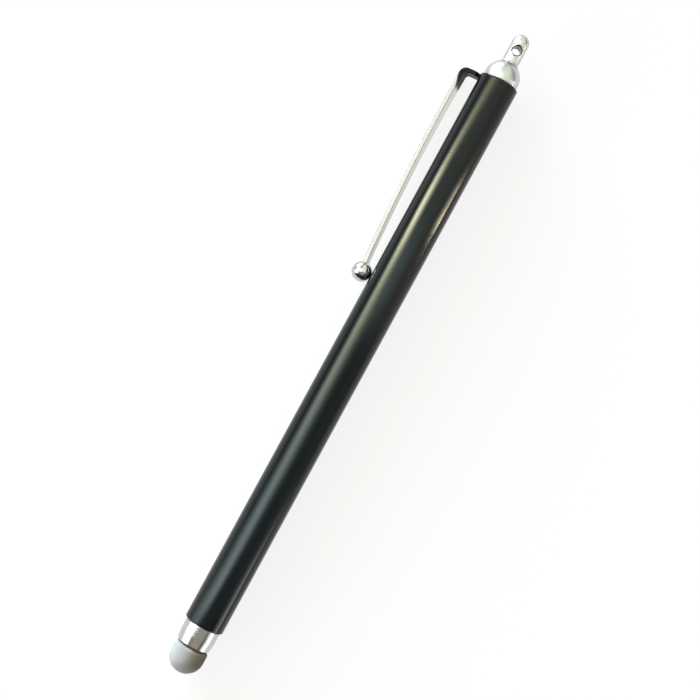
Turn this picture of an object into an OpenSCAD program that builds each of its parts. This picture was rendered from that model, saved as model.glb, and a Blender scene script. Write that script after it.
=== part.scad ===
// Stylus pen with a soft knitted tip, a spring clip and a lanyard post.
// Stations run along the pen's axis from the end of the tip, and all sizes are in millimetres.
// The pen lies on the ground, tip towards -X, resting on its barrel and on the ball of its clip.

/* [Barrel] */
// Outside diameter of the tube
barrel_d = 8.2; // [7.8:0.1:9]
// Wall of the tube
barrel_wall = 0.7; // [0.6:0.05:0.85]
// Length of the tube from rim to rim
barrel_len = 121.8; // [100:0.1:150]
// Rounding of the tube's outer edges at both rims
rim_round = 0.25; // [0.1:0.05:0.35]

/* [Clip] */
// Thickness of the spring strip
clip_t = 0.9; // [0.7:0.05:1]
// Width of the strip at its hook and bend
clip_root_w = 3; // [2.4:0.1:3.2]
// Width of the strip where it enters the ball
clip_end_w = 2; // [1.6:0.1:2.4]
// Open gap between the barrel and the strip at its crown
clip_gap = 3.15; // [2.6:0.05:3.6]
// Distance from the rear rim to the strip's crown
clip_crown = 12; // [9:0.5:20]
// Distance from the rear rim to the centre of the ball
clip_len = 45.7; // [40:0.1:52]
// Inside radius of the bend that turns the strip along the barrel
bend_r = 0.6; // [0.4:0.05:0.9]
// Width of the tongue that passes through the notch and hooks inside the tube
tongue_w = 1.6; // [1.2:0.1:1.7]
// Length of the hook inside the tube, below the bridge
hook_len = 3; // [2:0.1:3.5]
// Diameter of the ball
ball_d = 4.2; // [3.4:0.1:4.6]
// Gap between the ball and the barrel
ball_gap = 0.12; // [0.05:0.01:0.3]
// Play of the hook on the wall it sits over
hook_play = 0.3; // [0.26:0.01:0.4]
// Play of the tongue in the notch, and of the strip's shoulders off the barrel
notch_play = 0.1; // [0.06:0.01:0.2]

/* [End cap] */
// Step from the barrel's surface in to the cap
cap_step = 0.45; // [0.3:0.05:0.6]
// Straight band under the dome
cap_band = 1; // [0.4:0.05:1.4]
// Radius of the cove that leads from the dome into the post
cove_r = 0.8; // [0.4:0.05:1.2]
// Diameter of the lanyard post
post_d = 3.5; // [3:0.05:4]
// Height of the post over its cove
post_h = 6; // [5.4:0.1:8]
// Diameter of the lanyard hole
hole_d = 1.9; // [1.4:0.05:2.2]
// Height of the hole's centre over the cove
hole_up = 2.3; // [1.6:0.1:3]
// Depth of the flare at both mouths of the hole
hole_flare = 0.3; // [0.1:0.05:0.4]
// Turn of the hole about the pen's axis, away from upright as the pen lies
hole_turn = 0; // [-90:5:90]
// Diameter of the spigot that is pressed into the rear bush
spigot_d = 3.6; // [3:0.1:3.8]
// Length of the spigot
spigot_len = 7; // [5:0.5:9]

/* [Bushes] */
// Length of the rear bush
rear_bush_len = 9; // [7:0.5:14]
// Length of the front bush
front_bush_len = 8; // [7:0.5:14]
// Depth of the front bush below the rim
front_bush_recess = 0.2; // [0.1:0.1:0.4]

/* [Tip] */
// Step from the barrel's surface in to the ferrule
ferrule_step = 0.4; // [0.3:0.05:0.55]
// Visible length of the ferrule
ferrule_len = 4.35; // [4:0.05:6]
// Length of the ferrule's rounded nose
nose_len = 1.8; // [1:0.1:2.4]
// How far the nose draws in at its front edge
nose_drop = 0.2; // [0.1:0.05:0.3]
// Wall of the ferrule round its cavity
ferrule_wall = 0.5; // [0.45:0.05:0.65]
// Thickness of the lip that traps the ring
lip_t = 0.6; // [0.4:0.05:0.8]
// Floor between the cavity and the stud
floor_t = 1.2; // [0.8:0.1:1.4]
// Seam between the ferrule and the barrel
seat_gap = 0.05; // [0.02:0.01:0.1]
// Step from the ferrule's surface in to the dome
tip_step = 0.1; // [0:0.05:0.2]
// Length of the dome in front of the groove
tip_len = 5.65; // [4.8:0.05:6.5]
// Rounding of the dome's rear edge
tip_heel = 0.5; // [0.2:0.05:0.7]
// Width of the groove that the dome closes when it is pressed
groove_w = 0.45; // [0.3:0.05:0.6]
// Thickness of the knitted cover
mesh_t = 0.3; // [0.2:0.05:0.45]
// Length of the cover's tail behind the ring
tail_len = 0.2; // [0.1:0.05:0.3]
// Wall of the ring that gathers the cover
ring_wall = 0.3; // [0.2:0.05:0.4]
// Length of the ring
ring_len = 1; // [0.8:0.1:1.2]
// Play of the gathered cover and its ring in the ferrule
tip_play = 0.1; // [0.05:0.01:0.15]

/* [Thread] */
// Diameter of the stud that screws into the front bush
stud_d = 4; // [3.5:0.1:4.1]
// Pitch of its thread
thread_pitch = 0.7; // [0.5:0.05:0.8]
// Turns of thread in mesh
thread_turns = 6; // [4:1:7]
// Play between the stud and the bush
thread_play = 0.06; // [0.04:0.01:0.1]
// Thickness of the rubber ring's cord
seal_cord = 0.8; // [0.6:0.05:0.85]
// Play round the rubber ring
seal_play = 0.05; // [0.03:0.01:0.08]

/* [Hidden] */
$fn = 96;
// Facets of the strip's long flat arc, and an overshoot for cuts
arc_fn = 1440;
cut = 1;
// Overlap of two arcs where they join, in degrees
lap = 1;

barrel_r = barrel_d / 2;
bore_r = barrel_r - barrel_wall;
cap_r = barrel_r - cap_step;
post_r = post_d / 2;
hole_r = hole_d / 2;
spigot_r = spigot_d / 2;
stud_r = stud_d / 2;
ball_r = ball_d / 2;

// Stations from the tip to the lanyard post
ferrule_front = tip_len + groove_w;
ferrule_rear = ferrule_front + ferrule_len;
rim_front = ferrule_rear + seat_gap;
rim_rear = rim_front + barrel_len;
dome_at = rim_rear + cap_band;
cove_top = dome_at + sqrt(pow(cap_r + cove_r, 2) - pow(post_r + cove_r, 2));
post_end = cove_top + post_h;

// Radii from the ferrule's cavity in to the foam
ferrule_r = barrel_r - ferrule_step;
tip_r = ferrule_r - tip_step;
cavity_r = ferrule_r - ferrule_wall;
ring_r = cavity_r - tip_play;
neck_r = ring_r - ring_wall;
mouth_r = neck_r + tip_play;
cavity_floor = ferrule_rear - floor_t;
ring_front = ferrule_front + lip_t + tip_play;
tail_end = ring_front + ring_len + tail_len;
nose_arc = (nose_len * nose_len + nose_drop * nose_drop) / (2 * nose_drop);

// Rubber ring, its pocket in the front bush, and the stud behind it
seal_r = stud_r + seal_play + seal_cord / 2;
seal_at = ferrule_rear + seal_play + seal_cord / 2;
pocket_r = seal_r + seal_cord / 2 + seal_play;
pocket_end = seal_at + seal_cord / 2 + seal_play;
stud_end = pocket_end + thread_turns * thread_pitch;

// Bridge, hook and bend of the clip
bridge_top = rim_rear - notch_play;
bridge_low = bridge_top - clip_t;
notch_floor = bridge_low - notch_play;
hook_r = barrel_wall / 2 + hook_play;
hook_axis_r = barrel_r - barrel_wall / 2;
hook_axis_at = bridge_low - hook_r;
hook_end = bridge_low - hook_len;
slot_w = tongue_w + 2 * notch_play;

// Long arc of the strip, through the ball's centre and its crown
ball_at = rim_rear - clip_len;
ball_out = barrel_r + ball_gap + ball_r;
crown_at = rim_rear - clip_crown;
crown_out = barrel_r + clip_gap + clip_t / 2;
bow_run = crown_at - ball_at;
bow_rise = crown_out - ball_out;
bow_r = (bow_run * bow_run + bow_rise * bow_rise) / (2 * bow_rise);
bow_out = crown_out - bow_r;
bend_at = bridge_low - bend_r;
bend_reach = bow_r - clip_t / 2 - bend_r;
bend_lean = asin((bend_at - crown_at) / bend_reach);
bend_out = bow_out + bend_reach * cos(bend_lean);

// The pen rolls until its barrel and the ball both touch the ground, and its box is centred
clip_roll = asin((barrel_r - ball_r) / ball_out);
crown_w = clip_end_w + (clip_root_w - clip_end_w) * bow_run / (bend_at - ball_at);
side_reach = (crown_out + clip_t / 2) * cos(clip_roll) + crown_w / 2 * sin(clip_roll);
axis_y = (barrel_r - side_reach) / 2;

// Lays a piece down: its axis goes from Z to X, and the clip's side from Y to +Y
module lay_down(roll) {
    translate([-post_end / 2, axis_y, barrel_r])
        rotate([-roll, 0, 0])
            rotate([0, 90, 0])
                children();
}

// Rectangle of a profile, between two radii and two stations
module band(inner, outer, low, high) {
    translate([inner, low])
        square([outer - inner, high - low]);
}

// Waste outside a rounded corner, for a corner that points to +x and +y
module corner_waste(r) {
    difference() {
        translate([-r, -r])
            square(r + cut);
        translate([-r, -r])
            circle(r);
    }
}

// Sector of a ring, from one angle to another less than a half turn on
module ring_sector(inner, outer, from, to, fn) {
    mid = (from + to) / 2;
    reach = 2 * outer;
    intersection() {
        difference() {
            circle(outer, $fn = fn);
            circle(inner, $fn = fn);
        }
        polygon([[0, 0],
                 [reach * cos(from), reach * sin(from)],
                 [reach * cos(mid), reach * sin(mid)],
                 [reach * cos(to), reach * sin(to)]]);
    }
}

module barrel_tube() {
    color("#1c2022")
        lay_down(clip_roll)
            difference() {
                rotate_extrude()
                    difference() {
                        band(bore_r, barrel_r, rim_front, rim_rear);
                        translate([barrel_r, rim_rear])
                            corner_waste(rim_round);
                        translate([barrel_r, rim_front])
                            mirror([0, 1])
                                corner_waste(rim_round);
                    }
                translate([-slot_w / 2, 0, notch_floor])
                    cube([slot_w, barrel_r + cut, rim_rear - notch_floor + cut]);
            }
}

module front_bush() {
    bush_front = rim_front + front_bush_recess;
    color("#b8924a")
        lay_down(clip_roll)
            rotate_extrude()
                difference() {
                    band(stud_r + thread_play, bore_r, bush_front, bush_front + front_bush_len);
                    band(0, pocket_r, bush_front - cut, pocket_end);
                }
}

module rear_bush() {
    slot_floor = hook_end - notch_play;
    color("#3a3d40")
        lay_down(clip_roll)
            difference() {
                rotate_extrude()
                    band(spigot_r, bore_r, rim_rear - rear_bush_len, rim_rear);
                translate([-slot_w / 2, 0, slot_floor])
                    cube([slot_w, barrel_r, rim_rear - slot_floor + cut]);
            }
}

module end_cap() {
    round_at = post_end - post_r;
    flare_from = post_r - hole_flare;
    color("#d9dad6")
        lay_down(hole_turn)
            difference() {
                rotate_extrude() {
                    band(0, spigot_r, rim_rear - spigot_len, rim_rear);
                    band(0, cap_r, rim_rear, dome_at);
                    intersection() {
                        translate([0, dome_at])
                            circle(cap_r);
                        band(0, cap_r, dome_at, dome_at + cap_r);
                    }
                    difference() {
                        polygon([[0, dome_at], [post_r + cove_r, cove_top], [0, cove_top]]);
                        translate([post_r + cove_r, cove_top])
                            circle(cove_r);
                    }
                    band(0, post_r, cove_top, round_at);
                    intersection() {
                        translate([0, round_at])
                            circle(post_r);
                        band(0, post_r, round_at, post_end);
                    }
                }
                translate([0, 0, cove_top + hole_up])
                    rotate([0, 90, 0]) {
                        cylinder(r = hole_r, h = 2 * (post_r + cut), center = true);
                        for (side = [0, 1])
                            mirror([0, 0, side])
                                translate([0, 0, flare_from])
                                    cylinder(r1 = hole_r, r2 = hole_r + hole_flare + cut,
                                             h = hole_flare + cut);
                    }
            }
}

// Side view of the strip: hook, bridge, bend and long arc
module strip_profile() {
    translate([hook_axis_r - hook_r - clip_t, hook_end])
        square([clip_t, hook_axis_at - hook_end]);
    translate([hook_axis_r, hook_axis_at])
        ring_sector(hook_r, hook_r + clip_t, 90, 180, $fn);
    band(hook_axis_r, bend_out, bridge_low, bridge_top);
    translate([bend_out, bend_at])
        ring_sector(bend_r, bend_r + clip_t, bend_lean - lap, 90, $fn);
    translate([bow_out, crown_at])
        ring_sector(bow_r - clip_t / 2, bow_r + clip_t / 2, -asin(bow_run / bow_r), bend_lean, arc_fn);
}

// Front view of the strip: straight at the root, then narrowing to the ball
module strip_outline() {
    polygon([[-clip_root_w / 2, bridge_top + cut],
             [clip_root_w / 2, bridge_top + cut],
             [clip_root_w / 2, bend_at],
             [clip_end_w / 2, ball_at],
             [clip_end_w / 2, ball_at - cut],
             [-clip_end_w / 2, ball_at - cut],
             [-clip_end_w / 2, ball_at],
             [-clip_root_w / 2, bend_at]]);
}

// View of the strip along the pen: full width outside the barrel, a narrower tongue inside
module strip_end_view() {
    shoulder = barrel_r + notch_play;
    translate([-clip_root_w / 2, shoulder])
        square([clip_root_w, crown_out + clip_t - shoulder]);
    translate([-tongue_w / 2, 0])
        square([tongue_w, shoulder]);
}

module strip() {
    intersection() {
        rotate([90, 0, 90])
            linear_extrude(clip_root_w + 2 * cut, center = true)
                strip_profile();
        rotate([90, 0, 0])
            linear_extrude(2 * (crown_out + clip_t), center = true)
                strip_outline();
        linear_extrude(post_end)
            strip_end_view();
    }
}

module clip() {
    color("#cfd0cc")
        lay_down(clip_roll)
            strip();
}

module clip_ball() {
    color("#d9dad6")
        lay_down(clip_roll)
            difference() {
                translate([0, ball_out, ball_at])
                    sphere(ball_r);
                strip();
            }
}

module tip_seal() {
    color("#202020")
        lay_down(clip_roll)
            rotate_extrude()
                translate([seal_r, seal_at])
                    circle(seal_cord / 2);
}

module ferrule() {
    nose_at = ferrule_front + nose_len;
    color("#d4d5d2")
        lay_down(clip_roll)
            rotate_extrude()
                difference() {
                    union() {
                        band(0, ferrule_r, nose_at, ferrule_rear);
                        intersection() {
                            band(0, ferrule_r, ferrule_front, nose_at);
                            translate([ferrule_r - nose_arc, nose_at])
                                circle(nose_arc, $fn = arc_fn);
                        }
                        band(0, stud_r, ferrule_rear, stud_end);
                    }
                    band(0, mouth_r, ferrule_front - cut, ferrule_front + lip_t);
                    band(0, cavity_r, ferrule_front + lip_t, cavity_floor);
                }
}

module mesh_ring() {
    color("#b8924a")
        lay_down(clip_roll)
            rotate_extrude()
                band(neck_r, ring_r, ring_front, ring_front + ring_len);
}

// Half section of the dome and its neck, drawn in by the cover's thickness for the foam
module dome_profile(inset, neck_end) {
    r = tip_r - inset;
    heel = tip_heel - inset / 2;
    intersection() {
        translate([0, tip_r])
            circle(r);
        band(0, r, inset, tip_r);
    }
    difference() {
        band(0, r, tip_r, tip_len - inset);
        translate([r, tip_len - inset])
            corner_waste(heel);
    }
    band(0, neck_r - inset, tip_len - inset, neck_end);
}

module tip_mesh() {
    color("#b9bdbd")
        lay_down(clip_roll)
            rotate_extrude()
                difference() {
                    dome_profile(0, tail_end);
                    dome_profile(mesh_t, tail_end + cut);
                }
}

module tip_core() {
    color("#4a4c4c")
        lay_down(clip_roll)
            rotate_extrude()
                dome_profile(mesh_t, cavity_floor - seat_gap);
}

barrel_tube();
front_bush();
rear_bush();
end_cap();
clip();
clip_ball();
tip_seal();
ferrule();
mesh_ring();
tip_mesh();
tip_core();
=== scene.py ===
import math

import bmesh
import bpy
from mathutils import Matrix, Vector


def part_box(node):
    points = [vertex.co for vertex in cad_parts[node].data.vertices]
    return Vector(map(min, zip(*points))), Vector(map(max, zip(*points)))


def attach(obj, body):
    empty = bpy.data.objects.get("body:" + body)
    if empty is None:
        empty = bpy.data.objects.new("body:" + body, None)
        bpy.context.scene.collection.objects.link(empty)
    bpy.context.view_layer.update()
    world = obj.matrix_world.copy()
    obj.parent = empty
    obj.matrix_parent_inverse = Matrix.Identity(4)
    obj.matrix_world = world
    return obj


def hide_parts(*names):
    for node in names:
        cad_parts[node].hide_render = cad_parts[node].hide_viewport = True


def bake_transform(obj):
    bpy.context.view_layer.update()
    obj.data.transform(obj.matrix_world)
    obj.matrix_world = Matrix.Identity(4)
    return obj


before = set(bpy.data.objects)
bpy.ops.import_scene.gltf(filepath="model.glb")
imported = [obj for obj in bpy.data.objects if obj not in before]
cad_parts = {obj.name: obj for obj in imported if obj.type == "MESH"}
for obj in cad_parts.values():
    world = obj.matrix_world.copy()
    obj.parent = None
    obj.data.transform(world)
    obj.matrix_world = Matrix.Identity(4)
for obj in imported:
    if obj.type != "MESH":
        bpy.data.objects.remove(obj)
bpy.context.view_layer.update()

MM = 0.001
MICRON = 0.000001

# Where the pen lies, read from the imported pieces.
barrel_low, barrel_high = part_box("barrel_tube")
ball_low, ball_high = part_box("clip_ball")
TIP_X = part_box("tip_mesh")[0][0]
AXIS_Y = (barrel_low[1] + barrel_high[1]) / 2
AXIS_Z = (barrel_low[2] + barrel_high[2]) / 2
CAPWARD = Vector((1, 0, 0))
CLIP_SIDE = Vector((0, (ball_low[1] + ball_high[1]) / 2 - AXIS_Y,
                    (ball_low[2] + ball_high[2]) / 2 - AXIS_Z)).normalized()
CLIP_EDGE = CAPWARD.cross(CLIP_SIDE)

# Sizes in mm that finishes and pieces share. Stations run from the tip's end towards the cap, and names
# that end in OUT or IN are distances from the pen's axis.
DOME_AT = 3.6
COLLAR_REAR = 10.45
BARREL_FRONT = 10.5
BARREL_REAR = 132.3
BARREL_OUT = 4.1
BORE_OUT = 3.4
BALL_AT = 86.6
CROWN_AT = 120.3
CROWN_OUT = 7.7
STRIP_THICK = 0.9
GRIP_FRONT = 88.0
GRIP_REAR = 122.0
DARK_BEND_FRONT = 127.3
DARK_BEND_FULL = 128.9
COVE_AT = 136.2
HOLE_AT = 139.247
HOLE_OUT = 0.97

# Faces that meet at more than this angle, in degrees, get a crease.
CREASE = 35.0

# Turned pieces have this many sides, and a point of an outline nearer than this, in mm, is on the axis.
TURNED_SIDES = 128
ON_AXIS = 1e-6


def at(along, out=0.0, turn=0.0):
    """The point at a station, out from the pen's axis by a radius, turned round it from the clip's side."""
    round_it = CLIP_SIDE * math.cos(turn) + CLIP_EDGE * math.sin(turn)
    return Vector((TIP_X + along * MM, AXIS_Y, AXIS_Z)) + round_it * out * MM


# Node building, shared by the finishes, the light and the Geometry Nodes trees.
class Wire:
    """A node's output socket. Arithmetic on it adds Math nodes to its tree."""

    def __init__(self, bench, socket):
        self.bench = bench
        self.socket = socket

    def other(self, name):
        """Another output of the same node."""
        return Wire(self.bench, self.socket.node.outputs[name])

    def math(self, operation, first, second=None, third=None):
        return self.bench.node("ShaderNodeMath", {"operation": operation},
                               {0: first, 1: second, 2: third})

    def __add__(self, value):
        return self.math("ADD", self, value)

    def __radd__(self, value):
        return self.math("ADD", value, self)

    def __sub__(self, value):
        return self.math("SUBTRACT", self, value)

    def __rsub__(self, value):
        return self.math("SUBTRACT", value, self)

    def __mul__(self, value):
        return self.math("MULTIPLY", self, value)

    def __rmul__(self, value):
        return self.math("MULTIPLY", value, self)

    def __truediv__(self, value):
        return self.math("DIVIDE", self, value)

    def __rtruediv__(self, value):
        return self.math("DIVIDE", value, self)

    def __pow__(self, value):
        return self.math("POWER", self, value)

    def __rpow__(self, value):
        return self.math("POWER", value, self)

    def __gt__(self, value):
        return self.math("GREATER_THAN", self, value)

    def __lt__(self, value):
        return self.math("LESS_THAN", self, value)

    def sin(self):
        return self.math("SINE", self)

    def cos(self):
        return self.math("COSINE", self)

    def asin(self):
        return self.math("ARCSINE", self)

    def abs(self):
        return self.math("ABSOLUTE", self)

    def ceil(self):
        return self.math("CEIL", self)

    def root(self):
        return self.math("SQRT", self)

    def least(self, value):
        return self.math("MINIMUM", self, value)

    def most(self, value):
        return self.math("MAXIMUM", self, value)

    def angle_to(self, run):
        return self.math("ARCTAN2", self, run)

    def rise(self, low, high):
        """0 below low, 1 above high and a smooth step between them."""
        return self.bench.node("ShaderNodeMapRange", {"interpolation_type": "SMOOTHSTEP"},
                               {0: self, 1: low, 2: high, 3: 0.0, 4: 1.0})

    def between(self, low, high):
        """A straight run from low to high as the value goes from 0 to 1."""
        return self.bench.node("ShaderNodeMapRange", {"clamp": True},
                               {0: self, 1: 0.0, 2: 1.0, 3: low, 4: high})


class Bench:
    """A node tree while it is being wired."""

    def __init__(self, tree):
        self.tree = tree

    def node(self, kind, settings=None, inputs=None, out=0):
        """Adds a node: its settings first, then the values or links of its sockets."""
        made = self.tree.nodes.new(kind)
        for name, value in (settings or {}).items():
            if name == "stops":
                self.set_stops(made.color_ramp, value)
            else:
                setattr(made, name, value)
        for key, value in (inputs or {}).items():
            if isinstance(value, Wire):
                self.tree.links.new(value.socket, made.inputs[key])
            elif value is not None:
                made.inputs[key].default_value = value
        return Wire(self, made.outputs[out]) if len(made.outputs) else made

    def set_stops(self, ramp, stops):
        while len(ramp.elements) > 1:
            ramp.elements.remove(ramp.elements[-1])
        for index, (place, colour) in enumerate(stops):
            stop = ramp.elements[0] if index == 0 else ramp.elements.new(place)
            stop.position = place
            stop.color = (*colour, 1.0)[:4]

    def xyz(self, vector):
        split = self.node("ShaderNodeSeparateXYZ", None, {0: vector})
        return split, split.other(1), split.other(2)

    def joined(self, x, y, z):
        return self.node("ShaderNodeCombineXYZ", None, {0: x, 1: y, 2: z})

    def noise(self, vector, scale, detail=2.0, roughness=0.5):
        return self.node("ShaderNodeTexNoise", None,
                         {"Vector": vector, "Scale": scale, "Detail": detail, "Roughness": roughness})

    def tint(self, mask, first, second):
        """first where the mask is 0 and second where it is 1, both colours."""
        pair = [c if isinstance(c, Wire) else (*c, 1.0) for c in (first, second)]
        return self.node("ShaderNodeMix", {"data_type": "RGBA"},
                         {0: mask, 6: pair[0], 7: pair[1]}, out=2)

    def stretched(self, vector, scale, place=(0, 0, 0)):
        return self.node("ShaderNodeMapping", None,
                         {"Vector": vector, "Location": place, "Scale": scale})

    def bump(self, height, depth, below=None):
        return self.node("ShaderNodeBump", None,
                         {"Strength": 1.0, "Distance": depth, "Height": height, "Normal": below})

    def cells(self, vector, scale):
        """The distance to the nearest of many scattered points."""
        return self.node("ShaderNodeTexVoronoi", None, {"Vector": vector, "Scale": scale})

    def vector(self, operation, first, second):
        return self.node("ShaderNodeVectorMath", {"operation": operation}, {0: first, 1: second})

    def dot(self, first, second):
        return self.vector("DOT_PRODUCT", first, second).other("Value")

    def scaled(self, vector, amount):
        return self.node("ShaderNodeVectorMath", {"operation": "SCALE"}, {0: vector, 3: amount})


class Finish(Bench):
    """A surface finish: one Principled shader whose varying sockets are fed by nodes."""

    def __init__(self, name):
        self.material = bpy.data.materials.new(name)
        self.material.use_nodes = True
        super().__init__(self.material.node_tree)
        self.tree.nodes.clear()
        self.place = self.node("ShaderNodeTexCoord", out="Object")
        self.centred = self.stretched(self.place, (1, 1, 1), (-TIP_X, -AXIS_Y, -AXIS_Z))

    def shade(self, **sockets):
        """Closes the tree with the shader; underscores stand for the spaces in socket names."""
        shader = self.node("ShaderNodeBsdfPrincipled", None,
                           {name.replace("_", " "): value for name, value in sockets.items()})
        self.node("ShaderNodeOutputMaterial", None, {"Surface": shader})
        return self.material


# Finishes
def gloss_lacquer():
    """Black lacquer on a metal tube, with a few specks of dust, rubbed through along both rims."""
    f = Finish("gloss_lacquer")
    along, across, up = f.xyz(f.centred)
    out = (across * across + up * up).root()
    cloud = f.noise(f.place, 90.0, 3.0)
    rub = f.noise(f.stretched(f.place, (45, 1600, 1600)), 1.0, 4.0, 0.6)
    peel = f.noise(f.place, 750.0, 2.0)
    speck = (f.cells(f.place, 420.0) < 0.055) * (f.noise(f.place, 160.0, 1.0) > 0.6)
    front_rim = 1 - (along - BARREL_FRONT * MM).rise(0.02 * MM, 0.16 * MM)
    rear_rim = (along - BARREL_REAR * MM).rise(-0.16 * MM, -0.02 * MM)
    outside = out.rise((BARREL_OUT - 0.18) * MM, (BARREL_OUT - 0.08) * MM)
    inside = 1 - out.rise((BORE_OUT + 0.02) * MM, (BORE_OUT + 0.08) * MM)
    patchy = f.noise(f.place, 420.0, 4.0, 0.65).rise(0.52, 0.66)
    worn = ((front_rim + rear_rim) * outside * patchy).most(inside)
    black = f.tint(cloud, (0.0024, 0.0050, 0.0054), (0.0040, 0.0074, 0.0080))
    dusted = f.tint(speck * 0.5, black, (0.30, 0.31, 0.30))
    return f.shade(
        Base_Color=f.tint(worn, dusted, (0.56, 0.57, 0.56)),
        Metallic=worn,
        Roughness=(0.045 + 0.05 * cloud + 0.03 * rub + 0.3 * speck).most(worn * 0.34),
        IOR=1.36,
        Normal=f.bump(rub, 1.2 * MICRON, f.bump(peel, 3.5 * MICRON)))


def plated_turning(name, shine=0.05, corner_shade_at=(), drilled=None):
    """Bright plating over turned metal: fine rings round the axis, a little haze and fine scratches.
    Painted shade darkens the corners at the given stations, which are made rougher there too,
    and the wall of a drilled hole is painted near black as painted shade."""
    f = Finish(name)
    along, across, _ = f.xyz(f.centred)
    rings = f.noise(f.stretched(f.place, (9000, 60, 60)), 1.0, 3.0, 0.7)
    haze = f.noise(f.place, 260.0, 4.0, 0.6)
    scratch = f.noise(f.stretched(f.place, (700, 5200, 900)), 1.0, 2.0).rise(0.66, 0.74)
    bright = f.tint(haze, (0.64, 0.645, 0.63), (0.50, 0.50, 0.485))
    rough = shine * (0.6 + haze + 0.6 * rings) + 0.12 * scratch
    if corner_shade_at:
        # Painted shade: the corners at these stations are darkened, and made rougher.
        corner_shade = 0.0
        for station, spread in corner_shade_at:
            corner_shade = (1 - (along - station * MM).abs().rise(0.0, spread * MM)).most(corner_shade)
        corner_shade = corner_shade * f.noise(f.place, 1900.0, 3.0).between(0.55, 1.1)
        bright = f.tint(corner_shade * 0.9, bright, (0.07, 0.06, 0.045))
        rough = rough + 0.3 * corner_shade
    if drilled:
        station, size = drilled
        reach = ((along - station * MM) ** 2.0 + across * across).root()
        # Painted shade: the wall of the drilled hole is painted near black.
        wall = 1 - reach.rise((size + 0.08) * MM, (size + 0.24) * MM)
        bright = f.tint(wall, bright, (0.024, 0.021, 0.016))
    return f.shade(
        Base_Color=bright,
        Metallic=1.0,
        Roughness=rough,
        Normal=f.bump(scratch, 1.0 * MICRON, f.bump(rings, 1.1 * MICRON)))


def plated_strip():
    """Bright plating over rolled strip: fine lines along its length, haze where fingers pull it,
    sheared edges of less bright plating that are painted darker still as painted shade,
    and a near-black brown without metal shine inside the bend, on the bridge and on their edges."""
    f = Finish("plated_strip")
    along, across, up = f.xyz(f.centred)
    facing = f.node("ShaderNodeTexCoord", out="Normal")
    lines = f.noise(f.stretched(f.place, (70, 5200, 5200)), 1.0, 4.0, 0.65)
    haze = f.noise(f.place, 150.0, 3.0)
    pits = f.cells(f.place, 900.0) < 0.09
    pulled = 1 - along.rise(GRIP_FRONT * MM, GRIP_REAR * MM)
    sheared = f.dot(facing, tuple(CLIP_EDGE)).abs().rise(0.6, 0.9)
    # The near-black brown ends on a slant across the strip's thickness, and it is thin outside the bend.
    slant = 3.2
    inner_face = CROWN_OUT - STRIP_THICK / 2
    over_inner = across * CLIP_SIDE.y + up * CLIP_SIDE.z - inner_face * MM
    bend_outside = f.dot(facing, tuple((CLIP_SIDE + CAPWARD) * 0.707)).rise(0.3, 0.68)
    darkened_bend = (along - slant * over_inner).rise(DARK_BEND_FRONT * MM, DARK_BEND_FULL * MM)
    darkened_bend = darkened_bend * (1 - 0.72 * bend_outside)
    plating = f.tint(0.35 * haze + 0.65 * pulled, (0.74, 0.725, 0.655), (0.50, 0.485, 0.43))
    # The sheared edges have less bright plating than the faces, and are painted darker still as painted
    # shade.
    dull_and_shaded = f.tint(lines, (0.188, 0.178, 0.202), (0.140, 0.133, 0.152))
    brown = f.tint(haze, (0.012, 0.0075, 0.0062), (0.0065, 0.0045, 0.004))
    bright = f.tint(darkened_bend, f.tint(sheared, plating, dull_and_shaded), brown)
    return f.shade(
        Base_Color=f.tint(pits * 0.4, bright, (0.25, 0.24, 0.22)),
        Metallic=1 - darkened_bend,
        IOR=1.15,
        Roughness=0.12 + 0.10 * lines + 0.08 * haze + 0.2 * pits + 0.1 * darkened_bend + 0.16 * sheared,
        Normal=f.bump(pits, -3.0 * MICRON, f.bump(lines, 1.6 * MICRON)))


def bare_brass():
    """Turned brass with fine rings round the axis and patches of tarnish."""
    f = Finish("bare_brass")
    rings = f.noise(f.stretched(f.place, (7000, 80, 80)), 1.0, 3.0, 0.7)
    tarnish = f.noise(f.place, 420.0, 4.0, 0.65).rise(0.35, 0.75)
    return f.shade(
        Base_Color=f.tint(tarnish, (0.74, 0.53, 0.22), (0.36, 0.23, 0.09)),
        Metallic=1.0,
        Roughness=0.20 + 0.12 * rings + 0.16 * tarnish,
        Normal=f.bump(rings, 2.5 * MICRON))


def moulded_plastic():
    """Dark plastic with faint flow lines and a fine mould grain."""
    f = Finish("moulded_plastic")
    flow = f.noise(f.stretched(f.place, (140, 420, 420)), 1.0, 3.0)
    grain = f.noise(f.place, 5200.0, 2.0)
    return f.shade(
        Base_Color=f.tint(flow, (0.030, 0.031, 0.033), (0.060, 0.061, 0.064)),
        Roughness=0.42 + 0.14 * grain,
        IOR=1.5,
        Normal=f.bump(grain, 4.0 * MICRON))


def seal_rubber():
    """Black rubber with a pale bloom."""
    f = Finish("seal_rubber")
    bloom = f.noise(f.place, 900.0, 4.0, 0.6).rise(0.45, 0.8)
    grain = f.noise(f.place, 7000.0, 2.0)
    return f.shade(
        Base_Color=f.tint(bloom, (0.014, 0.014, 0.015), (0.060, 0.060, 0.062)),
        Roughness=0.55 + 0.2 * bloom,
        IOR=1.5,
        Normal=f.bump(grain, 3.0 * MICRON))


def open_foam():
    """Dark carbon-loaded foam with open cells, whose insides are painted near black as painted shade."""
    f = Finish("open_foam")
    wall = f.cells(f.place, 3200.0).rise(0.15, 0.55)
    aged = f.tint(f.noise(f.place, 500.0, 3.0), (0.070, 0.070, 0.074), (0.11, 0.11, 0.115))
    # Painted shade: the open cells are near black, and the walls between them carry the foam's own grey.
    return f.shade(
        Base_Color=f.tint(wall, (0.012, 0.012, 0.013), aged),
        Roughness=0.82 + 0.12 * wall,
        IOR=1.4,
        Normal=f.bump(wall, 80.0 * MICRON))


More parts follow.
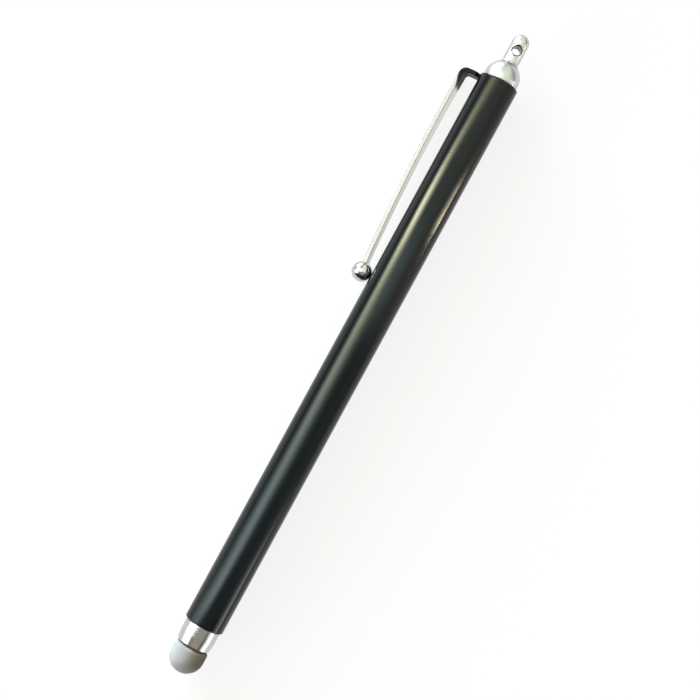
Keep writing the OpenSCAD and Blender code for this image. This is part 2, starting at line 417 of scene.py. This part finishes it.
def silver_yarn():
    """Silver-coated yarn: two plies twisted along each strand, duller where it has been rubbed.
    The grooves between the plies are painted darker as painted shade.
    """
    f = Finish("silver_yarn")
    strand = f.node("ShaderNodeAttribute", {"attribute_name": "strand"}, out="Vector")
    side, along, up = f.xyz(strand)
    ply = (along * 7.0 + up.angle_to(side) * 2.0).sin().between(0.0, 1.0)
    fibre = f.noise(f.stretched(strand, (9, 2.5, 9)), 1.0, 3.0)
    lot = f.noise(f.place, 1500.0, 2.0)
    rubbed = f.noise(f.place, 210.0, 3.0).rise(0.4, 0.7)
    silver = f.tint(lot, (0.86, 0.865, 0.865), (0.72, 0.72, 0.715))
    worn = f.tint(rubbed * 0.5, silver, (0.62, 0.60, 0.565))
    # Painted shade: the grooves between the plies are darker.
    return f.shade(
        Base_Color=f.tint((1 - ply) * 0.3, worn, (0.42, 0.41, 0.39)),
        Metallic=0.06 * lot,
        Roughness=0.62 + 0.2 * fibre,
        IOR=1.35,
        Normal=f.bump(ply, 12.0 * MICRON, f.bump(fibre, 4.0 * MICRON)))


def cover_lining():
    """The back of the knit, seen between the stitches and inside the ferrule.
    It is painted a dark grey, far darker than the yarn, as painted shade.
    """
    f = Finish("cover_lining")
    along, _, _ = f.xyz(f.centred)
    ribs = (along * (2 * math.pi / (0.24 * MM))).sin().between(0.0, 1.0)
    lint = f.noise(f.place, 2600.0, 3.0)
    # Painted shade: the knit's back is dark grey, though its yarn is silver.
    return f.shade(
        Base_Color=f.tint(lint, (0.20, 0.20, 0.20), (0.34, 0.34, 0.335)),
        Roughness=0.7 + 0.2 * lint,
        Sheen_Weight=0.2,
        Normal=f.bump(ribs, 20.0 * MICRON, f.bump(lint, 10.0 * MICRON)))


# Solid shapes
def new_piece(name, mesh, finish=None):
    piece = bpy.data.objects.new(name, mesh)
    bpy.context.scene.collection.objects.link(piece)
    if finish:
        mesh.materials.clear()
        mesh.materials.append(finish)
    return piece


def close_up(mesh, crease=CREASE):
    """Turns every face outwards and shades it smooth, with a crease at each sharp edge."""
    shape = bmesh.new()
    shape.from_mesh(mesh)
    bmesh.ops.recalc_face_normals(shape, faces=shape.faces)
    shape.to_mesh(mesh)
    shape.free()
    mesh.shade_smooth()
    mesh.set_sharp_from_angle(angle=math.radians(crease))
    return mesh


def face_weighted(mesh, crease=CREASE):
    """Large faces set the shading at their corners, so that they stay flat beside a rounded edge."""
    limit = math.cos(math.radians(crease))
    around = [[] for _ in mesh.vertices]
    for face in mesh.polygons:
        for corner in face.vertices:
            around[corner].append((face.normal.copy(), face.area))
    shading = []
    for face in mesh.polygons:
        for corner in face.vertices:
            near = [normal * area for normal, area in around[corner] if normal.dot(face.normal) > limit]
            shading.append(sum(near, Vector()).normalized())
    mesh.normals_split_custom_set(shading)
    return mesh


def eased(corners, closed=True, steps=6):
    """An outline from corners (station, radius, rounding): each corner is rounded by its own radius."""
    line = []
    count = len(corners)
    for i, (x, y, ease) in enumerate(corners):
        here = Vector((x, y))
        inner = closed or 0 < i < count - 1
        if ease <= 0 or not inner:
            line.append((x, y))
            continue
        back = (Vector(corners[i - 1][:2]) - here).normalized()
        on = (Vector(corners[(i + 1) % count][:2]) - here).normalized()
        half = back.angle(on) / 2
        middle = here + (back + on).normalized() * (ease / math.sin(half))
        first = here + back * (ease / math.tan(half)) - middle
        last = here + on * (ease / math.tan(half)) - middle
        sweep = first.angle_signed(last)
        for k in range(steps + 1):
            turn = -sweep * k / steps
            spot = middle + Matrix.Rotation(turn, 2) @ first
            line.append((spot.x, spot.y))
    return line


def evenly(first, last, steps):
    """Values in equal steps, with both ends."""
    return [first + (last - first) * k / steps for k in range(steps + 1)]


def bow(station, radius, size, start, stop, steps):
    """Points on an arc in the outline's plane, in degrees from straight out towards the cap."""
    turns = [math.radians(turn) for turn in evenly(start, stop, steps)]
    return [(station + size * math.sin(turn), radius + size * math.cos(turn)) for turn in turns]


def turned(name, outline, finish, closed=True):
    """A turned piece: the outline, in stations and radii, spun round the pen's axis."""
    shape = bmesh.new()
    rings = []
    for along, out in outline:
        if out < ON_AXIS:
            rings.append([shape.verts.new(at(along))])
        else:
            turns = [2 * math.pi * i / TURNED_SIDES for i in range(TURNED_SIDES)]
            rings.append([shape.verts.new(at(along, out, turn)) for turn in turns])
    steps = list(zip(rings, rings[1:]))
    if closed:
        steps.append((rings[-1], rings[0]))
    for first, second in steps:
        for i in range(TURNED_SIDES):
            j = (i + 1) % TURNED_SIDES
            corners = [first[i % len(first)], first[j % len(first)],
                       second[j % len(second)], second[i % len(second)]]
            shape.faces.new(list(dict.fromkeys(corners)))
    mesh = bpy.data.meshes.new(name)
    shape.to_mesh(mesh)
    shape.free()
    return new_piece(name, face_weighted(close_up(mesh)), finish)


# Geometry Nodes trees
def tree_with(name, sizes):
    """A tree with geometry in and out and a named input for each size, and those inputs' identifiers."""
    tree = bpy.data.node_groups.new(name, "GeometryNodeTree")
    tree.interface.new_socket("Geometry", in_out="INPUT", socket_type="NodeSocketGeometry")
    names = {}
    for label, kind in sizes.items():
        socket = tree.interface.new_socket(label, in_out="INPUT", socket_type="NodeSocket" + kind)
        names[label] = socket.identifier
    tree.interface.new_socket("Geometry", in_out="OUTPUT", socket_type="NodeSocketGeometry")
    bench = Bench(tree)
    start = bench.node("NodeGroupInput")
    return bench, {label: start.other(label) for label in ("Geometry", *sizes)}, names


def close_tree(bench, geometry, finish):
    """Every tree ends with its instances made real and its finish put on."""
    real = bench.node("GeometryNodeRealizeInstances", None, {0: geometry})
    bench.node("NodeGroupOutput", None,
               {0: bench.node("GeometryNodeSetMaterial", None, {"Geometry": real, "Material": finish})})


def grown(name, bench, names, values, start=None, crease=CREASE, flat=False):
    """Runs a tree on a starting shape and keeps its result as a plain mesh."""
    seed = bpy.data.objects.new(name + "_seed", start or bpy.data.meshes.new(name + "_seed"))
    bpy.context.scene.collection.objects.link(seed)
    build = seed.modifiers.new("build", "NODES")
    build.node_group = bench.tree
    for label, value in values.items():
        build[names[label]] = value
    graph = bpy.context.evaluated_depsgraph_get()
    mesh = bpy.data.meshes.new_from_object(
        seed.evaluated_get(graph), preserve_all_data_layers=True, depsgraph=graph)
    mesh.name = name
    bpy.data.objects.remove(seed)
    close_up(mesh, crease)
    return new_piece(name, face_weighted(mesh, crease) if flat else mesh)


def strip_tree():
    """A flat strip swept along a bent path. It narrows to its free end and to a tongue inside the rim."""
    bench, size, names = tree_with("bent_strip", {
        "Thickness": "Float", "Root Width": "Float", "End Width": "Float", "Tongue Width": "Float",
        "Edge Round": "Float", "Root X": "Float", "End X": "Float", "Rim Radius": "Float",
        "Shoulder": "Float", "Finish": "Material"})
    path = bench.node("GeometryNodeSetCurveNormal", {"mode": "FREE"},
                      {"Curve": size["Geometry"], "Normal": tuple(CLIP_EDGE)})
    section = bench.node("GeometryNodeCurvePrimitiveQuadrilateral", None,
                         {"Width": size["Root Width"], "Height": size["Thickness"]})
    section = bench.node("GeometryNodeFilletCurve", {"mode": "POLY"},
                         {"Curve": section, "Count": 7, "Radius": size["Edge Round"]})
    swept = bench.node("GeometryNodeCurveToMesh", None,
                       {"Curve": path, "Profile Curve": section, "Fill Caps": True})
    place = bench.node("GeometryNodeInputPosition")
    from_axis = bench.vector("SUBTRACT", place, (0, AXIS_Y, AXIS_Z))
    sideways = bench.dot(from_axis, tuple(CLIP_EDGE))
    outward = bench.dot(from_axis, tuple(CLIP_SIDE))
    x, _, _ = bench.xyz(place)
    share = ((x - size["End X"]) / (size["Root X"] - size["End X"])).most(0.0).least(1.0)
    wide = size["End Width"] + (size["Root Width"] - size["End Width"]) * share
    clear = outward.rise(size["Rim Radius"], size["Rim Radius"] + size["Shoulder"])
    wide = size["Tongue Width"] + (wide - size["Tongue Width"]) * clear
    flat = size["Root Width"] * 0.5 - size["Edge Round"]
    shift = (sideways / flat).most(-1.0).least(1.0) * (wide - size["Root Width"]) * 0.5
    shaped = bench.node("GeometryNodeSetPosition", None,
                        {"Geometry": swept, "Offset": bench.scaled(tuple(CLIP_EDGE), shift)})
    close_tree(bench, shaped, size["Finish"])
    return bench, names


def thread_tree():
    """One screw ridge round the pen's axis, right-handed, fading out at both ends."""
    bench, size, names = tree_with("screw_ridge", {
        "Start X": "Float", "Pitch": "Float", "Turns": "Float", "Phase": "Float", "Root Radius": "Float",
        "Height": "Float", "Root Width": "Float", "Crest Width": "Float", "Steps A Turn": "Float",
        "Finish": "Material"})
    line = bench.node("GeometryNodeCurvePrimitiveLine", None, {"Start": (0, 0, 0), "End": (1, 0, 0)})
    line = bench.node("GeometryNodeResampleCurve", None,
                      {"Curve": line, "Count": size["Steps A Turn"] * size["Turns"] + 1.0})
    share = bench.node("GeometryNodeSplineParameter")
    turn = share * size["Turns"] * (2 * math.pi) + size["Phase"]
    helix = bench.joined(size["Start X"] + share * size["Turns"] * size["Pitch"],
                         AXIS_Y + size["Root Radius"] * turn.cos(),
                         AXIS_Z + size["Root Radius"] * turn.sin())
    line = bench.node("GeometryNodeSetPosition", None, {"Geometry": line, "Position": helix})
    line = bench.node("GeometryNodeSetCurveNormal", {"mode": "FREE"},
                      {"Curve": line, "Normal": bench.joined(0.0, turn.cos(), turn.sin())})
    sunk = 0.0 - size["Height"] * 0.25
    section = bench.node("GeometryNodeCurvePrimitiveQuadrilateral", {"mode": "POINTS"}, {
        "Point 1": bench.joined(sunk, size["Root Width"] * -0.6, 0.0),
        "Point 2": bench.joined(size["Height"], size["Crest Width"] * -0.5, 0.0),
        "Point 3": bench.joined(size["Height"], size["Crest Width"] * 0.5, 0.0),
        "Point 4": bench.joined(sunk, size["Root Width"] * 0.6, 0.0)})
    ends = (share.least(1 - share) * size["Turns"] * 2.0).least(1.0).most(0.05)
    swept = bench.node("GeometryNodeCurveToMesh", None,
                       {"Curve": line, "Profile Curve": section, "Scale": ends, "Fill Caps": True})
    close_tree(bench, swept, size["Finish"])
    return bench, names


def knit_tree():
    """Rows of knit stitches, laid out flat and then drawn over the dome so that each keeps its area."""
    bench, size, names = tree_with("knit_cover", {
        "Wale": "Float", "Course": "Float", "Reach": "Float", "Dome Radius": "Float", "Wall": "Float",
        "Heel": "Float", "Pole X": "Float", "Strand Width": "Float", "Strand Length": "Float",
        "Strand Height": "Float", "Slant": "Float", "Tuck": "Float", "Wobble": "Float", "Seed": "Int",
        "Finish": "Material"})
    across = (size["Reach"] * 2.0 / size["Wale"]).ceil()
    rows = (size["Reach"] * 2.0 / size["Course"]).ceil()
    grid = bench.node("GeometryNodeMeshGrid", None,
                      {"Size X": across * size["Wale"], "Size Y": rows * size["Course"],
                       "Vertices X": across + 1.0, "Vertices Y": rows + 1.0})
    spot_x, spot_y, _ = bench.xyz(bench.node("GeometryNodeInputPosition"))
    outside = (spot_x * spot_x + spot_y * spot_y).root() > size["Reach"]
    spots = bench.node("GeometryNodeDeleteGeometry", None, {"Geometry": grid, "Selection": outside})
    strand = bench.node("GeometryNodeMeshUVSphere", None, {"Segments": 6, "Rings": 4, "Radius": 1.0})
    strand = bench.node("GeometryNodeStoreNamedAttribute", {"data_type": "FLOAT_VECTOR", "domain": "POINT"},
                        {"Geometry": strand, "Name": "strand",
                         "Value": bench.node("GeometryNodeInputPosition")})
    legs = []
    for side in (-1.0, 1.0):
        legs.append(bench.node("GeometryNodeTransform", None, {
            "Geometry": strand,
            "Translation": bench.joined(size["Wale"] * 0.25 * side, 0.0, 0.0),
            "Rotation": bench.node("FunctionNodeEulerToRotation", None,
                                   {0: bench.joined(size["Tuck"], 0.0, size["Slant"] * -side)}),
            "Scale": bench.joined(size["Strand Width"], size["Strand Length"], size["Strand Height"])}))
    stitch = bench.node("GeometryNodeJoinGeometry", None, {0: legs[0]})
    bench.tree.links.new(legs[1].socket, stitch.socket.node.inputs[0])
    sway = bench.node("FunctionNodeRandomValue", {"data_type": "FLOAT"},
                      {2: 0.0 - size["Wobble"], 3: size["Wobble"], "Seed": size["Seed"]}, out=1)
    laid = bench.node("GeometryNodeInstanceOnPoints", None, {
        "Points": spots, "Instance": stitch,
        "Rotation": bench.node("FunctionNodeEulerToRotation", None, {0: bench.joined(0.0, 0.0, sway)})})
    real = bench.node("GeometryNodeRealizeInstances", None, {0: laid})
    flat_x, flat_y, lift = bench.xyz(bench.node("GeometryNodeInputPosition"))
    far = (flat_x * flat_x + flat_y * flat_y).root().most(1e-9)
    radius = size["Dome Radius"]
    lean = (far / (radius * 2.0)).least(math.sqrt(0.5)).asin() * 2.0
    down = ((far * far - radius * radius * 2.0) / (radius * 2.0)).most(0.0)
    wall = down.least(size["Wall"])
    tuck = ((down - size["Wall"]) / size["Heel"]).most(0.0).least(math.pi / 2)
    along = radius * (1 - lean.cos()) + wall + size["Heel"] * tuck.sin()
    out = radius * lean.sin() - size["Heel"] * (1 - tuck.cos())
    along = size["Pole X"] + along + lift * (tuck.sin() - lean.cos())
    out = (out + lift * lean.sin() * tuck.cos()) / far
    drawn = bench.joined(along, AXIS_Y + out * flat_x, AXIS_Z + out * flat_y)
    drawn = bench.node("GeometryNodeSetPosition", None, {"Geometry": real, "Position": drawn})
    close_tree(bench, drawn, size["Finish"])
    return bench, names


# The camera stands where the photograph was taken from, almost straight above.
PEN_TILT = math.radians(28.5925)
eye = Vector((-3.34, 2.91, 279.62)) * MM
look = Vector((0.289, -1.483, 0.0)) * MM
image_up = Vector((math.cos(PEN_TILT), math.sin(PEN_TILT), 0))
back = (eye - look).normalized()
right = image_up.cross(back).normalized()
up = back.cross(right)
camera = bpy.data.objects.new("camera", bpy.data.cameras.new("camera"))
bpy.context.scene.collection.objects.link(camera)
camera.matrix_world = Matrix.Translation(eye) @ Matrix((right, up, back)).transposed().to_4x4()
camera.data.lens = 71.76
camera.data.sensor_width = 36.0
camera.data.clip_start = 0.01
camera.data.clip_end = 10.0
bpy.context.scene.camera = camera
bpy.context.scene.view_settings.view_transform = "Standard"


def studio_light():
    """A long lamp over the clip's side, bright and narrow above the cap's half and broad above the tip's
    half, a window beyond it, a dim room with a patch of sky overhead, and a low opening and two small
    warm bulbs on the other side.
    Light is painted by direction: capward is its lean to the cap, side its turn round the pen in degrees.
    Matt surfaces take the window's light and a share of the rest. The camera sees plain white."""
    world = bpy.data.worlds.new("studio")
    bpy.context.scene.world = world
    world.use_nodes = True
    world.node_tree.nodes.clear()
    b = Bench(world.node_tree)
    capward, y, z = b.xyz(b.node("ShaderNodeTexCoord", out="Generated"))
    side = y.angle_to(z) * (180 / math.pi)
    camera_ray = b.node("ShaderNodeLightPath", out="Is Camera Ray")
    mirrored = camera_ray.other("Is Glossy Ray") * (camera_ray.other("Diffuse Depth") < 0.5)

    def bell(value, middle, spread):
        """1 at the middle, fading on both sides."""
        off = (value - middle) / spread
        return math.e ** (0.0 - off * off)

    def stretch(dark, full, last_full, last):
        """1 from one lean to another, fading outside them."""
        return capward.rise(dark, full) * (1 - capward.rise(last_full, last))

    def room(stops):
        """The tones of the room by turn round the pen."""
        return b.node("ShaderNodeValToRGB", {"stops": [(turn / 360 + 0.5, tone) for turn, tone in stops]},
                      {"Fac": side / 360.0 + 0.5})

    # Each row of the long lamp: lean, middle in degrees, level, and fade outwards and inwards in degrees.
    plan = [(-0.50, 46, 4.0, 42, 9), (-0.200, 46, 4.0, 42, 9), (-0.195, 32, 6.5, 42, 12),
            (-0.15, 33, 6.3, 30, 20), (-0.08, 37, 6.5, 23, 27), (0.02, 47, 9, 14, 29),
            (0.08, 50, 14, 11, 21), (0.13, 56, 40, 10, 16), (0.17, 55, 11, 10, 19),
            (0.22, 43, 5.5, 15, 24), (0.30, 40, 3.0, 24, 24)]
    first_lean, lean_range = -0.5, 0.8
    top_level, top_degrees = 40.0, 100.0
    rows = b.node("ShaderNodeValToRGB", {"stops": [
        ((lean - first_lean) / lean_range,
         (middle / top_degrees, level / top_level, outer / top_degrees, inner / top_degrees))
        for lean, middle, level, outer, inner in plan]}, {"Fac": (capward - first_lean) / lean_range})
    middle, level, outer = b.xyz(rows)
    inner = rows.other("Alpha")
    off = side - middle * top_degrees
    spread = ((off > 0.0) * outer + (off < 0.0) * inner) * top_degrees
    lamp = math.e ** (0.0 - off * off / (spread * spread)) * level * top_level
    lamp = lamp * stretch(-0.70, -0.52, 0.30, 0.45)
    lamp_tone = b.tint(capward.rise(-0.12, 0.07), (0.82, 1.0, 0.98), (1.0, 1.0, 0.70))

    opening = bell(side, -88.0, 18.0) * stretch(-0.70, -0.52, -0.20, -0.08) * 4.6
    bulbs = bell(capward, 0.1245, 0.0055) + 0.45 * bell(capward, 0.1455, 0.006)
    warm_lamp = bell(side, -88.0, 19.0) * bulbs * 50.0
    sky = bell(side, 2.0, 32.0) * stretch(0.02, 0.06, 0.09, 0.13)

    # One pane of the window is at the cap's end, and one at the tip's end is seen by matt surfaces alone.
    cap_pane = stretch(0.30, 0.42, 0.75, 0.95) * 26.0
    tip_pane = (1 - mirrored) * (1 - capward.rise(-0.75, -0.55)) * 12.5
    window = bell(side, 80.0, 16.0) * (cap_pane + tip_pane)

    # The room changes along the pen: what the collar mirrors, the tip's half, the cap's half and the cap.
    collar_room = room([(-90, (0.22, 0.20, 0.17)), (-55, (0.28, 0.26, 0.23)), (-50, (0.10, 0.10, 0.10)),
                        (-44, (0.10, 0.10, 0.10)), (-40, (0.42, 0.38, 0.33)), (0, (0.48, 0.43, 0.37)),
                        (20, (0.40, 0.36, 0.32)), (90, (0.34, 0.35, 0.36))])
    tip_room = room([(-90, (0.50, 0.55, 0.56)), (-55, (0.58, 0.68, 0.68)), (-30, (0.44, 0.56, 0.58)),
                     (10, (0.42, 0.54, 0.55)), (90, (0.30, 0.32, 0.30))])
    overhead = [(-25, (1.25, 1.34, 1.14)), (10, (1.2, 1.36, 1.2)), (30, (0.60, 0.62, 0.50)),
                (60, (0.45, 0.44, 0.36))]
    cap_room = room([(-90, (0.90, 0.88, 0.82)), (-45, (1.05, 1.08, 0.98))] + overhead)
    end_room = room([(-90, (0.32, 0.34, 0.35)), (-70, (0.34, 0.36, 0.36)),
                     (-46, (0.95, 1.00, 0.92))] + overhead)
    lit = b.tint(capward.rise(-0.200, -0.195), collar_room, tip_room)
    lit = b.tint(capward.rise(0.015, 0.05), lit, cap_room)
    lit = b.tint(capward.rise(0.27, 0.31), lit, end_room)
    lit = b.tint(1 - capward.rise(-0.75, -0.50), lit, (0.05, 0.05, 0.05))

    for tone, amount in (((0.55, 1.05, 1.15), sky), (lamp_tone, lamp), ((1.0, 0.89, 0.62), warm_lamp),
                         ((0.93, 1.0, 1.01), opening)):
        lit = b.vector("ADD", lit, b.scaled(tone, amount))
    matt_share = b.tint(mirrored, (0.20, 0.17, 0.135), (1.0, 1.0, 1.0))
    lit = b.vector("MULTIPLY", lit, matt_share)
    lit = b.vector("ADD", lit, b.scaled((0.865, 0.99, 1.155), window))
    background = b.node("ShaderNodeBackground", None,
                        {"Color": b.tint(camera_ray, lit, (1.0, 1.0, 1.0)), "Strength": 1.0})
    b.node("ShaderNodeOutputWorld", None, {"Surface": background})


def pale_floor():
    """A white table top, lifted to white for the camera and in reflections; it keeps the pen's shadow."""
    half_side, drop = 1.5, 20.0 * MICRON
    material = bpy.data.materials.new("pale_floor")
    material.use_nodes = True
    material.node_tree.nodes.clear()
    b = Bench(material.node_tree)
    rays = b.node("ShaderNodeLightPath", out="Is Camera Ray")
    seen = rays.most(rays.other("Is Glossy Ray")).most(rays.other("Is Transmission Ray"))
    fibre = b.noise(b.node("ShaderNodeTexCoord", out="Object"), 900.0, 3.0)
    paper = b.node("ShaderNodeBsdfDiffuse", None,
                   {"Color": b.tint(fibre, (0.21, 0.21, 0.21), (0.235, 0.235, 0.235))})
    glow = b.node("ShaderNodeEmission", None, {"Color": (1, 1, 1, 1), "Strength": seen * 0.87})
    b.node("ShaderNodeOutputMaterial", None,
           {"Surface": b.node("ShaderNodeAddShader", None, {0: paper, 1: glow})})
    shape = bmesh.new()
    bmesh.ops.create_grid(shape, x_segments=2, y_segments=2, size=half_side)
    mesh = bpy.data.meshes.new("table_top")
    shape.to_mesh(mesh)
    shape.free()
    mesh.transform(Matrix.Translation((0, 0, -drop)))
    new_piece("table_top", mesh, material)


studio_light()
pale_floor()

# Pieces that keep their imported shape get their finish.
lacquer = gloss_lacquer()
cap_plating = plated_turning("cap_plating", 0.20, [(BARREL_REAR, 0.35), (COVE_AT, 0.3)], (HOLE_AT, HOLE_OUT))
ball_plating = plated_turning("ball_plating", 0.045)
collar_plating = plated_turning("collar_plating", 0.05, [(COLLAR_REAR, 0.25)])
strip_plating = plated_strip()
brass = bare_brass()
plastic = moulded_plastic()
rubber = seal_rubber()
foam_finish = open_foam()
yarn = silver_yarn()
lining_finish = cover_lining()

for node, finish in {
        "barrel_tube": lacquer, "end_cap": cap_plating, "clip_ball": ball_plating,
        "rear_bush": plastic, "tip_seal": rubber, "mesh_ring": brass}.items():
    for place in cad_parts[node].material_slots:
        place.material = finish

# The clip: one strip from the hook inside the barrel, over the rim, round the bend and along the bow.
HOOK_END = 128.3
HOOK_MIDDLE = 129.5
HOOK_OUT = 2.65
HOOK_RADIUS = 1.1
BRIDGE_AT = 131.75
BEND_RADIUS = 1.05
BEND_AT = BRIDGE_AT - BEND_RADIUS
BEND_OUT = 6.52
BOW_START = 130.5
BOW_RADIUS = 412.17
SHOULDER_OUT = 4.22


def bow_out(along):
    """The radius of the strip's middle line on its long bow, which is highest at the crown."""
    return CROWN_OUT - BOW_RADIUS + math.sqrt(BOW_RADIUS ** 2 - (along - CROWN_AT) ** 2)


bend_lean = math.degrees(math.asin((BEND_AT - CROWN_AT) / BOW_RADIUS))
bridge_low = HOOK_OUT + HOOK_RADIUS
path = [(HOOK_END, HOOK_OUT), (HOOK_MIDDLE, HOOK_OUT)]
path += bow(BRIDGE_AT - HOOK_RADIUS, bridge_low, HOOK_RADIUS, 180, 90, 16)
path += [(BRIDGE_AT, out) for out in evenly(bridge_low, BEND_OUT, 28)[1:-1]]
path += bow(BEND_AT, BEND_OUT, BEND_RADIUS, 90, bend_lean, 18)
path += [(along, bow_out(along)) for along in evenly(BOW_START, BALL_AT, 90)]
line = bpy.data.curves.new("strip_path", "CURVE")
line.dimensions = "3D"
spline = line.splines.new("POLY")
spline.points.add(len(path) - 1)
for point, (along, out) in zip(spline.points, path):
    point.co = (*at(along, out), 1.0)
bench, names = strip_tree()
clip = grown("clip_strip", bench, names, {
    "Thickness": STRIP_THICK * MM, "Root Width": 3.0 * MM, "End Width": 2.0 * MM, "Tongue Width": 1.6 * MM,
    "Edge Round": 0.09 * MM, "Root X": at(BEND_AT).x, "End X": at(BALL_AT).x,
    "Rim Radius": SHOULDER_OUT * MM, "Shoulder": 0.5 * MM, "Finish": strip_plating}, line, flat=True)
at(127.5, 7.6)
at(106.0, 7.4)
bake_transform(clip)
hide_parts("clip")

# The tip unit: a plated collar with a threaded stud, and the brass bush that it screws into.
LIP_FRONT = 6.1
LIP_REAR = 6.7
LIP_IN = 2.9
NOSE_END = 7.9
NOSE_OUT = 3.5
COLLAR_OUT = 3.7
CAVITY_FLOOR = 9.25
CAVITY_OUT = 3.2
STUD_FOOT = 11.1
STUD_FOOT_OUT = 1.75
STUD_TAPER = 15.1
STUD_END = 15.55
STUD_END_OUT = 1.2
STUD_OUT = 1.62
BUSH_FRONT = 10.7
BUSH_REAR = 18.7
BUSH_IN = 2.08
MOUTH_IN = 2.3
MOUTH_DEEP = 0.3
SEAL_FLOOR = 11.35
SEAL_OUT = 2.9
PITCH = 0.7
RIDGE = 0.35
THREAD_START = 11.45
NEAR_AXIS = 0.01

collar_outline = eased(
    [(CAVITY_FLOOR, NEAR_AXIS, 0), (CAVITY_FLOOR, CAVITY_OUT, 0.1), (LIP_REAR, CAVITY_OUT, 0.05),
     (LIP_REAR, LIP_IN, 0.05), (LIP_FRONT, LIP_IN, 0.12), (LIP_FRONT, NOSE_OUT, 0.12),
     (NOSE_END, COLLAR_OUT, 3.0), (COLLAR_REAR, COLLAR_OUT, 0.08), (COLLAR_REAR, STUD_FOOT_OUT, 0.12),
     (STUD_FOOT, STUD_OUT, 0.1), (STUD_TAPER, STUD_OUT, 0.1), (STUD_END, STUD_END_OUT, 0.05),
     (STUD_END, NEAR_AXIS, 0)], closed=False)
collar_outline = [(CAVITY_FLOOR, 0.0)] + collar_outline + [(STUD_END, 0.0)]
collar = turned("tip_collar", collar_outline, collar_plating, closed=False)
bench, names = thread_tree()
ridge = {"Pitch": PITCH * MM, "Root Width": 0.42 * MM, "Crest Width": 0.1 * MM, "Steps A Turn": 48.0,
         "Phase": 0.0}
stud = grown("stud_thread", bench, names, {
    **ridge, "Start X": at(THREAD_START).x, "Turns": 5.4, "Root Radius": STUD_OUT * MM,
    "Height": RIDGE * MM, "Finish": collar_plating})
bush_outline = eased(
    [(BUSH_FRONT, SEAL_OUT, 0.06), (BUSH_FRONT, BORE_OUT, 0.1), (BUSH_REAR, BORE_OUT, 0.1),
     (BUSH_REAR, MOUTH_IN, 0.1), (BUSH_REAR - MOUTH_DEEP, BUSH_IN, 0.05), (SEAL_FLOOR, BUSH_IN, 0.03),
     (SEAL_FLOOR, SEAL_OUT, 0.05)])
bush = turned("threaded_bush", bush_outline, brass)
bush_thread = grown("bush_thread", bench, names, {
    **ridge, "Start X": at(THREAD_START + PITCH / 2).x, "Turns": 9.2, "Root Radius": BUSH_IN * MM,
    "Height": -RIDGE * MM, "Finish": brass})
for piece, body, slot in ((collar, "tip_unit", "cap_chrome"), (stud, "tip_unit", "cap_chrome"),
                          (bush, "barrel", "brass"), (bush_thread, "barrel", "brass")):
    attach(piece, body)
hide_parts("ferrule")
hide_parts("front_bush")

# The soft tip: a foam core, the knitted cover drawn over it and the stitches that show.
CORE_OUT = 3.27
CORE_WALL_END = 5.3
NECK_OUT = 2.47
CORE_REAR = 9.2
DOME_OUT = 3.5
WALL_END = 5.57
HEEL_ROUND = 0.45
LINING_OUT = DOME_OUT - 0.02
LINING_IN = 3.3
LINING_WALL_END = 5.42
TAIL_REAR = 8.0
TAIL_OUT = 2.78
TAIL_IN = 2.53
DOME_STEPS = 40

core_wall = eased(
    [(DOME_AT, CORE_OUT, 0), (CORE_WALL_END, CORE_OUT, 0.5), (CORE_WALL_END, NECK_OUT, 0.2),
     (CORE_REAR, NECK_OUT, 0.15), (CORE_REAR, 0.0, 0)], closed=False)
core_outline = bow(DOME_AT, 0.0, CORE_OUT, -90, 0, DOME_STEPS) + core_wall[1:]
core = turned("foam_core", core_outline, foam_finish, closed=False)
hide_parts("tip_core")
at(9.15)
at(7.6)
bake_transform(core)

lining_wall = eased(
    [(DOME_AT, LINING_OUT, 0), (WALL_END, LINING_OUT, HEEL_ROUND), (WALL_END, TAIL_OUT, 0.15),
     (TAIL_REAR, TAIL_OUT, 0.05), (TAIL_REAR, TAIL_IN, 0.05), (LINING_WALL_END, TAIL_IN, 0.2),
     (LINING_WALL_END, LINING_IN, 0.4), (DOME_AT, LINING_IN, 0)], closed=False)
lining_outline = bow(DOME_AT, 0.0, LINING_OUT, -90, 0, DOME_STEPS) + lining_wall[1:]
lining_outline += bow(DOME_AT, 0.0, LINING_IN, 0, -90, DOME_STEPS)[1:]
lining = turned("cover_lining", lining_outline, lining_finish, closed=False)
bench, names = knit_tree()
knit = grown("knit_cover", bench, names, {
    "Wale": 0.32 * MM, "Course": 0.235 * MM, "Reach": 6.5 * MM, "Dome Radius": DOME_OUT * MM,
    "Wall": (WALL_END - HEEL_ROUND - DOME_AT) * MM, "Heel": HEEL_ROUND * MM,
    "Pole X": at(DOME_AT - DOME_OUT).x,
    "Strand Width": 0.085 * MM, "Strand Length": 0.19 * MM, "Strand Height": 0.075 * MM,
    "Slant": math.radians(24), "Tuck": math.radians(9), "Wobble": math.radians(4), "Seed": 7,
    "Finish": yarn}, crease=80.0)
for piece in (lining, knit):
    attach(piece, "tip_dome")
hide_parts("tip_mesh")
